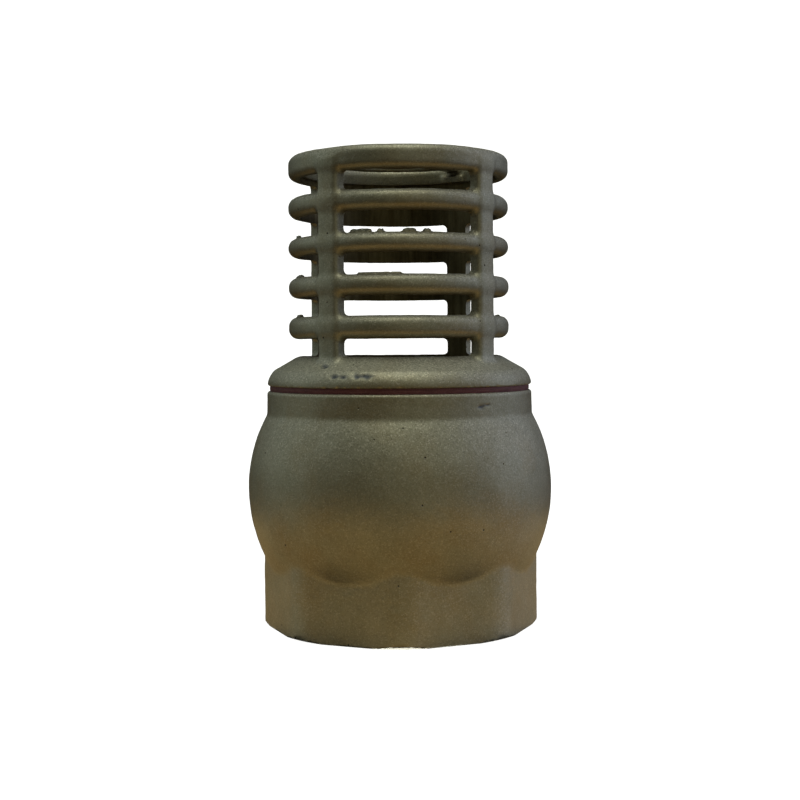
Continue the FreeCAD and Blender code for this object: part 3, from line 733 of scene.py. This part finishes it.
def make_body():
    """The body's casting, with its thread and machined faces."""
    theta = directions(COLUMNS)
    rows = body_rows(theta)
    points = []
    for reach, height, kind in rows:
        ring = circle(reach, height, theta)
        if kind == CAST and ring[0, 2] > 0.1:
            for point in ring:
                outward = Vector((point[0], point[1], 0)).normalized()
                point[:2] += np.array(outward[:2]) * cast_offset(point, 3.7)
        points.append(ring)
    faces = ring_grid_faces(len(rows), COLUMNS)
    points = np.concatenate(points)
    nicks = nick_depth(points)
    sunk = 1 - NICK_DEPTH * nicks / np.linalg.norm(points[:, :2], axis=1)
    points[:, :2] *= sunk[:, None]
    piece = make_mesh(
        "body_casting",
        points,
        faces,
        "housing",
        ("valve_body",),
        (MATERIALS["cast_brass"], MATERIALS["machined_brass"]),
        crease=40,
    )
    paint(piece, "nick", nicks)
    # Painted top light with pale dust on the faces that look up.
    paint_top_light_and_dust(piece)
    kinds = [row[2] for row in rows]
    kinds = [max(here, after) for here, after in zip(kinds, kinds[1:] + kinds[:1])]
    indices = np.repeat(kinds, COLUMNS).astype(np.int32)
    piece.data.polygons.foreach_set("material_index", indices)


# ---------------------------------------------------------------------------
# The strainer cage
# ---------------------------------------------------------------------------
def make_cage():
    """The cage's casting from its field, bored through with a cutter."""
    points, quads, occlusion_shade = field_mesh(cage_field, (-38, -38, -13), (38, 38, 65), 0.62)
    turn = np.array(
        [
            [math.cos(CAGE_TURN), -math.sin(CAGE_TURN), 0],
            [math.sin(CAGE_TURN), math.cos(CAGE_TURN), 0],
            [0, 0, 1],
        ]
    )
    points = points @ turn.T
    points[:, 2] += FLANGE_Z
    piece = make_mesh(
        "cage_casting",
        points,
        quads,
        "housing",
        ("strainer_cage",),
        (MATERIALS["cast_brass"], MATERIALS["shaded_bored_brass"]),
    )
    # Painted shade on the downward faces of the cage's rings, added to the painted shade in its
    # hollows.
    underside_shade = np.clip(-0.6 * upwardness(piece), 0, 1)
    paint(piece, "occlusion_shade", np.maximum(occlusion_shade, underside_shade))
    # Painted top light with pale dust on the faces that look up, less in the cage's hollows.
    paint_top_light_and_dust(piece, occlusion_shade)
    roughen(piece, 8.1)
    foot = FLANGE_Z - SKIRT_LENGTH - LIP_HEIGHT
    bore_out(piece, CAGE_BORE, foot - 2, FLANGE_Z + BORE_END, 360)


def roughen(piece, seed):
    """Move a casting's points along their normals by its unevenness."""
    mesh = piece.data
    count = len(mesh.vertices)
    points = np.empty(count * 3, np.float32)
    normals = np.empty(count * 3, np.float32)
    mesh.vertices.foreach_get("co", points)
    mesh.vertex_normals.foreach_get("vector", normals)
    points = points.reshape(-1, 3)
    normals = normals.reshape(-1, 3)
    offsets = np.array([cast_offset(point, seed) for point in points / MM])
    offsets[points[:, 2] < (FLANGE_Z + 0.3) * MM] = 0
    nicks = nick_depth(points / MM)
    offsets -= nicks * NICK_DEPTH
    paint(piece, "nick", nicks)
    points += normals * offsets[:, None] * MM
    mesh.vertices.foreach_set("co", points.ravel())
    mesh.update()


def bore_out(piece, radius, low, high, sides):
    """Cut a bore through a casting, and give its wall the piece's second material."""
    points = turned_points([(radius, low), (radius, high)], sides) * MM
    mesh = bpy.data.meshes.new("bore_cutter")
    mesh.from_pydata([tuple(point) for point in points], [], capped_faces(2, sides))
    cutter = bpy.data.objects.new("bore_cutter", mesh)
    bpy.context.scene.collection.objects.link(cutter)
    cut = piece.modifiers.new("bore", "BOOLEAN")
    cut.operation = "DIFFERENCE"
    cut.solver = "MANIFOLD"
    cut.object = cutter
    graph = bpy.context.evaluated_depsgraph_get()
    result = bpy.data.meshes.new_from_object(piece.evaluated_get(graph), depsgraph=graph)
    piece.modifiers.clear()
    old = piece.data
    piece.data = result
    bpy.data.meshes.remove(old)
    bpy.data.objects.remove(cutter)
    result.name = piece.name
    for polygon in result.polygons:
        reaches = [result.vertices[i].co.xy.length / MM for i in polygon.vertices]
        if max(abs(reach - radius) for reach in reaches) < 0.02:
            polygon.material_index = CUT
    result.polygons.foreach_set("use_smooth", [True] * len(result.polygons))
    result.set_sharp_from_angle(angle=math.radians(35))


# ---------------------------------------------------------------------------
# Gasket, spring and small parts
# ---------------------------------------------------------------------------
def make_gasket():
    """The fibre gasket, squeezed a little proud between its two faces."""
    low, high = node_box("flange_gasket")
    theta = directions(360)
    thick = high.z - low.z
    rows = []
    for share in np.linspace(0, 1, 7):
        bulge = GASKET_BULGE * math.sin(math.pi * share)
        rows.append((high.x - 0.1 + bulge, low.z + thick * share))
    rows += [(34.2, high.z), (GASKET_INNER, high.z), (GASKET_INNER, low.z), (34.2, low.z)]
    points = []
    for reach, z in rows:
        for angle in theta:
            place = Vector((math.cos(angle) * reach, math.sin(angle) * reach, z))
            ragged = noise.noise(place * 0.5) * 0.08 + noise.noise(place * 2.2) * 0.05
            scale = (reach + (ragged if reach > 35 else 0)) / reach
            points.append((place.x * scale, place.y * scale, z))
    faces = ring_grid_faces(len(rows), len(theta))
    make_piece("gasket_ring", points, faces, "housing", "red_fibre", "flange_gasket")


def rounded(corners, radius):
    """A closed outline of (reach, height) corners with every corner rounded."""
    outline = []
    count = len(corners)
    for index, corner in enumerate(corners):
        here = Vector(corner)
        before = Vector(corners[index - 1]) - here
        after = Vector(corners[(index + 1) % count]) - here
        cut = min(radius, before.length * 0.45, after.length * 0.45)
        start = here + before.normalized() * cut
        end = here + after.normalized() * cut
        for share in (0.0, 0.25, 0.5, 0.75, 1.0):
            point = start.lerp(here, share).lerp(here.lerp(end, share), share)
            outline.append((point.x, point.y))
    return outline


def turned_points(outline, columns):
    """Points of an outline swept once round the axis."""
    theta = directions(columns)
    return np.concatenate([circle(reach, z, theta) for reach, z in outline])


def make_turned(node, body, slot, corners, radius=0.15, columns=128):
    """A ring-shaped piece turned from a closed outline with soft edges."""
    outline = rounded(corners, radius)
    points = turned_points(outline, columns)
    faces = ring_grid_faces(len(outline), columns)
    make_piece(node + "_turned", points, faces, body, slot, node)


def make_washers():
    """The seal, its retainer and the spring's washer, each inside its own CAD outline."""
    low, high = node_box("disc_seal")
    reach = high.x
    seal = [(12.15, low.z), (reach, low.z), (reach, high.z), (28.9, high.z)]
    seal += [(28.6, high.z - 0.12), (27.6, high.z - 0.12), (27.3, high.z), (12.15, high.z)]
    make_turned("disc_seal", "poppet", "nbr_rubber", seal, 0.25, 192)

    low, high = node_box("seal_retainer")
    plate = [(4.1, low.z), (high.x, low.z), (high.x, high.z - 0.5), (high.x - 0.5, high.z)]
    plate += [(21.0, high.z), (20.6, high.z - 0.25), (10.4, high.z - 0.25), (10.0, high.z)]
    make_turned("seal_retainer", "poppet", "machined_brass", plate + [(4.1, high.z)], 0.12, 192)

    low, high = node_box("spring_washer")
    flat = [(6.1, low.z), (high.x, low.z), (high.x, high.z), (6.1, high.z)]
    make_turned("spring_washer", "spring_follower", "stainless_steel", flat, 0.2)


def make_disc():
    """The valve disc: a turned plate, dished underneath, with a boss that centres the seal."""
    low, high = node_box("valve_disc")
    plate_top = low.z + 4.0
    corners = [(4.1, low.z), (14.0, low.z), (15.0, low.z + 0.4), (26.0, low.z + 0.4)]
    corners += [(27.0, low.z), (29.6, low.z), (high.x, low.z + 0.6), (high.x, plate_top - 0.6)]
    corners += [(29.6, plate_top), (11.95, plate_top), (11.95, high.z), (4.1, high.z)]
    make_turned("valve_disc", "poppet", "machined_brass", corners, 0.25, 192)


def make_bush():
    """The flanged bush that guides the spindle, with a lead-in at both ends."""
    low, high = node_box("guide_bush")
    flange = high.z - 0.6
    corners = [(4.5, low.z), (5.15, low.z), (5.15, flange), (6.4, flange), (6.4, high.z)]
    corners += [(4.4, high.z), (4.06, high.z - 0.5), (4.06, low.z + 0.5)]
    make_turned("guide_bush", "housing", "ptfe", corners, 0.12, 96)


def capped_faces(rows, columns):
    """Quads between rows of points, with the first and last row closed by a face."""
    faces = ring_grid_faces(rows, columns, closed_rows=False)
    faces.append(tuple(range(columns))[::-1])
    faces.append(tuple(range((rows - 1) * columns, rows * columns)))
    return faces


def make_spindle():
    """The spindle: smooth stem below, shoulder under the disc, and a rolled thread on top."""
    low, high = node_box("spindle")
    seat = node_box("valve_disc")[0].z
    columns = 96
    theta = directions(columns)
    rows = [(3.3, low.z), (3.55, low.z + 0.1), (3.95, low.z + 0.6), (4.0, low.z + 0.75)]
    rows += [(4.0, z) for z in np.arange(low.z + 3, seat - 2.4, 2.0)]
    rows += [(4.0, seat - 2.0), (5.7, seat - 2.0), (5.95, seat - 1.8), (6.0, seat - 1.6)]
    rows += [(6.0, seat - 0.3), (5.75, seat), (4.0, seat), (4.0, seat + 3.0)]
    points = [circle(reach, z, theta) for reach, z in rows]
    pitch = 1.25
    for z in np.arange(seat + 6.0, high.z - 0.05, pitch / 12):
        wave = 0.5 - 0.5 * np.cos(2 * math.pi * z / pitch - theta)
        lead = min(1.0, (high.z - z) / 0.9)
        reach = 3.3 + 0.7 * np.clip(1.3 * wave - 0.1, 0, 1) * lead
        points.append(circle(reach, z, theta))
    points.append(circle(2.9, high.z, theta))
    faces = capped_faces(len(points), columns)
    points = np.concatenate(points)
    make_piece("spindle_turned", points, faces, "poppet", "machined_brass", "spindle")


def make_nut():
    """The hexagon nut, with its corners turned off at both ends and a countersunk bore."""
    low, high = node_box("disc_nut")
    columns = 144
    theta = directions(columns)
    flat = 6.5
    away = np.abs((theta + math.pi / 6) % (math.pi / 3) - math.pi / 6)
    hexagon = flat / np.cos(math.pi / 6 - away)
    heights = list(np.linspace(low.z, low.z + 0.8, 9)) + list(np.linspace(high.z - 0.8, high.z, 9))
    points = [circle(4.05, low.z + 0.4, theta), circle(4.5, low.z, theta)]
    for z in heights:
        end = min(z - low.z, high.z - z)
        points.append(circle(np.minimum(hexagon, 6.45 + end * 1.73), z, theta))
    points += [circle(4.5, high.z, theta), circle(4.05, high.z - 0.4, theta)]
    faces = ring_grid_faces(len(points), columns)
    points = np.concatenate(points)
    make_piece("disc_nut_hex", points, faces, "poppet", "stainless_steel", "disc_nut")


def make_lock_washer():
    """The split spring washer, its two ends sprung a little apart in height."""
    low, high = node_box("lock_washer")
    section = rounded([(4.3, -0.7), (7.35, -0.7), (7.35, 0.7), (4.3, 0.7)], 0.15)
    gap = 0.11
    steps = 90
    points = []
    for step in range(steps):
        share = step / (steps - 1)
        angle = gap + (2 * math.pi - 2 * gap) * share
        rise = (low.z + high.z) / 2 + 0.16 * (share - 0.5)
        for reach, z in section:
            points.append((reach * math.cos(angle), reach * math.sin(angle), rise + z))
    faces = capped_faces(steps, len(section))
    make_piece("lock_washer_split", points, faces, "poppet", "stainless_steel", "lock_washer")


def make_spring():
    """The closing spring, with closed and ground end coils, squashed as the disc opens."""
    foot = node_box("guide_spider")[0].z + 5.0
    top = node_box("spring_washer")[0].z
    wire = 0.7
    coil = 11.0
    turns = 5.6
    sunk = wire * 0.45
    ends = wire * 2 * 0.92
    free = (top - foot - 2 * sunk - 2 * ends) / (turns - 2)
    steps = 560
    sides = 14
    points = []
    for step in range(steps):
        turn = turns * step / (steps - 1)
        rise = ends * min(turn, 1.0) + free * min(max(turn - 1, 0), turns - 2)
        rise += ends * max(turn - turns + 1, 0)
        angle = turn * 2 * math.pi
        for side in range(sides):
            around = side * 2 * math.pi / sides
            reach = coil + wire * math.cos(around)
            z = foot + sunk + rise + wire * math.sin(around)
            z = min(max(z, foot), top)
            points.append((reach * math.cos(angle), reach * math.sin(angle), z))
    faces = capped_faces(steps, sides)
    name = "closing_spring_coil"
    spring = make_piece(name, points, faces, "housing", "stainless_steel", "closing_spring")
    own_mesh(spring)


def spider_field(x, y, z):
    """Distance to the guide spider's casting, before its hub is bored."""
    r = np.sqrt(x * x + y * y)
    half = SPIDER_THICKNESS / 2
    rim = box_2d(r, z - half, *SPIDER_RIM, half - 0.02, 0.3)
    arms = np.full_like(r, 1e3)
    for turn in (0, 120, 240):
        angle = math.radians(turn)
        along = x * math.cos(angle) + y * math.sin(angle)
        beside = np.abs(y * math.cos(angle) - x * math.sin(angle))
        arm = common_round(beside - SPIDER_ARM_HALF, np.abs(z - half) - half, 0.7)
        arm = np.maximum(arm, np.maximum(-along, along - SPIDER_ARM_END))
        arms = np.minimum(arms, arm)
    tall = np.abs(z - SPIDER_HUB_MIDDLE) - SPIDER_HUB_HALF
    hub = common_round(r - SPIDER_HUB_RADIUS, tall, 0.5)
    return union_round(union_round(arms, hub, 1.2), rim, 0.8)


def make_spider():
    """The cast guide spider, with its hub bored for the bush."""
    base = node_box("guide_spider")[0].z + 2.0
    points, quads, occlusion_shade = field_mesh(spider_field, (-30, -30, -3), (30, 30, 11), 0.5)
    points[:, 2] += base
    slot = "cast_brass"
    materials = (MATERIALS[slot], MATERIALS["machined_brass"])
    name = "guide_spider_casting"
    piece = make_mesh(name, points, quads, "housing", ("guide_spider",), materials)
    # Painted shade in the spider's hollows.
    paint(piece, "occlusion_shade", occlusion_shade)
    bore_out(piece, SPIDER_BORE, base - 4.0, base + 12.0, 96)


# ---------------------------------------------------------------------------
# Studio
# ---------------------------------------------------------------------------
def make_stage():
    """A pale floor that sweeps up into a round backdrop, open only under the socket."""
    opening = 0.0345
    drop = -0.00005
    flat = 0.8
    sweep = 1.2
    profile = [(opening, drop), (0.15, drop), (0.4, drop), (flat, drop)]
    for step in range(1, 19):
        angle = math.radians(step * 5)
        profile.append((flat + sweep * math.sin(angle), sweep * (1 - math.cos(angle))))
    profile.append((flat + sweep, 2.6))
    profile.append((1.4, 3.4))
    profile.append((0.0, 3.6))
    columns = 96
    points = [tuple(point) for point in turned_points(profile, columns)]
    mesh = bpy.data.meshes.new("floor")
    mesh.from_pydata(points, [], ring_grid_faces(len(profile), columns, closed_rows=False))
    mesh.validate()
    floor = bpy.data.objects.new("floor", mesh)
    bpy.context.scene.collection.objects.link(floor)
    mesh.polygons.foreach_set("use_smooth", [True] * len(mesh.polygons))
    n = Nodes("floor")
    n.shader.inputs["Emission Color"].default_value = (1, 1, 1, 1)
    n.shader.inputs["Emission Strength"].default_value = 0.95
    mesh.materials.append(n.finish((0.8, 0.8, 0.8), 0.9, metallic=0.0))
    for flag in ("visible_diffuse", "visible_glossy", "visible_transmission", "visible_shadow"):
        setattr(floor, flag, False)


# Soft lights of the studio: turn from the front and height in degrees, tightness, colour.
SOFT_LIGHTS = [
    (0, 80, 20, (2.7, 2.7, 2.1)),
    (-100, 25, 5, (0.35, 0.4, 0.4)),
    (100, 20, 5, (0.5, 0.55, 0.7)),
    (20, 25, 5, (0.25, 0.25, 0.2)),
]

# Warm light from the floor: the same panel in front, behind and on both sides.
BOUNCE_DISTANCE = 0.10
BOUNCE_SIZE = (0.24, 0.12)
BOUNCE_WATTS = (0.026, 0.018, 0.008)
# A small light under the valve, for the inside of the socket.
UNDERSIDE_WATTS = (0.02, 0.02, 0.02)


def light_direction(turn, height):
    """The direction of a soft light, from degrees right of the front and above level."""
    turn, height = math.radians(turn), math.radians(height)
    level = math.cos(height)
    return (math.sin(turn) * level, -math.cos(turn) * level, math.sin(height))


def make_world():
    """A dim studio with a few soft lights in set directions."""
    world = bpy.data.worlds.new("studio")
    bpy.context.scene.world = world
    world.use_nodes = True
    tree = world.node_tree
    place = tree.nodes.new("ShaderNodeTexCoord")
    total = None
    for turn, height, tightness, colour in SOFT_LIGHTS:
        facing = tree.nodes.new("ShaderNodeVectorMath")
        facing.operation = "DOT_PRODUCT"
        facing.inputs[1].default_value = light_direction(turn, height)
        tree.links.new(place.outputs["Generated"], facing.inputs[0])
        above = tree.nodes.new("ShaderNodeMath")
        above.operation = "MAXIMUM"
        above.inputs[1].default_value = 0.0
        tree.links.new(facing.outputs["Value"], above.inputs[0])
        soft = tree.nodes.new("ShaderNodeMath")
        soft.operation = "POWER"
        soft.inputs[1].default_value = tightness
        tree.links.new(above.outputs[0], soft.inputs[0])
        tint = tree.nodes.new("ShaderNodeVectorMath")
        tint.operation = "SCALE"
        tint.inputs[0].default_value = colour
        tree.links.new(soft.outputs[0], tint.inputs["Scale"])
        if total is None:
            total = tint.outputs[0]
            continue
        join = tree.nodes.new("ShaderNodeVectorMath")
        join.operation = "ADD"
        tree.links.new(total, join.inputs[0])
        tree.links.new(tint.outputs[0], join.inputs[1])
        total = join.outputs[0]
    background = next(n for n in tree.nodes if n.type == "BACKGROUND")
    tree.links.new(total, background.inputs["Color"])


def make_lamp(name, place, turn, size, colour):
    """A soft rectangular light that faces up, whose colour gives its power in watts."""
    data = bpy.data.lights.new(name, "AREA")
    data.shape = "RECTANGLE"
    data.size, data.size_y = size
    data.energy = max(colour)
    data.color = [value / max(colour) for value in colour]
    lamp = bpy.data.objects.new(name, data)
    lamp.location = place
    lamp.rotation_euler = (math.pi, 0, turn)
    lamp.visible_camera = False
    bpy.context.scene.collection.objects.link(lamp)


def make_floor_lights():
    """Warm light from the floor on all four sides, and a little under the socket."""
    for side, name in enumerate(["front", "right", "back", "left"]):
        turn = side * math.pi / 2
        place = (BOUNCE_DISTANCE * math.sin(turn), -BOUNCE_DISTANCE * math.cos(turn), -0.002)
        make_lamp("bounce_" + name, place, turn, BOUNCE_SIZE, BOUNCE_WATTS)
    make_lamp("underside", (0, 0, -0.03), 0, (0.04, 0.04), UNDERSIDE_WATTS)


CAMERA_PLACE = (0.00027, -0.390, 0.0782)
CAMERA_LENS = 63.0
CAMERA_SHIFT = -0.075
CAMERA_ROLL = 0.42


def make_camera():
    """The camera: 0.39 m in front of the valve, level with its lowest slots."""
    data = bpy.data.cameras.new("camera")
    data.sensor_width = 36.0
    data.lens = CAMERA_LENS
    data.shift_y = CAMERA_SHIFT
    data.clip_start = 0.01
    camera = bpy.data.objects.new("camera", data)
    camera.location = CAMERA_PLACE
    camera.rotation_euler = (math.radians(90), math.radians(CAMERA_ROLL), 0)
    bpy.context.scene.collection.objects.link(camera)
    bpy.context.scene.camera = camera


bpy.context.scene.view_settings.view_transform = "Standard"
make_camera()
make_world()
make_floor_lights()
make_stage()
make_body()
make_spider()
make_bush()
make_spring()
make_washers()
make_spindle()
make_disc()
make_lock_washer()
make_nut()
make_gasket()
make_cage()
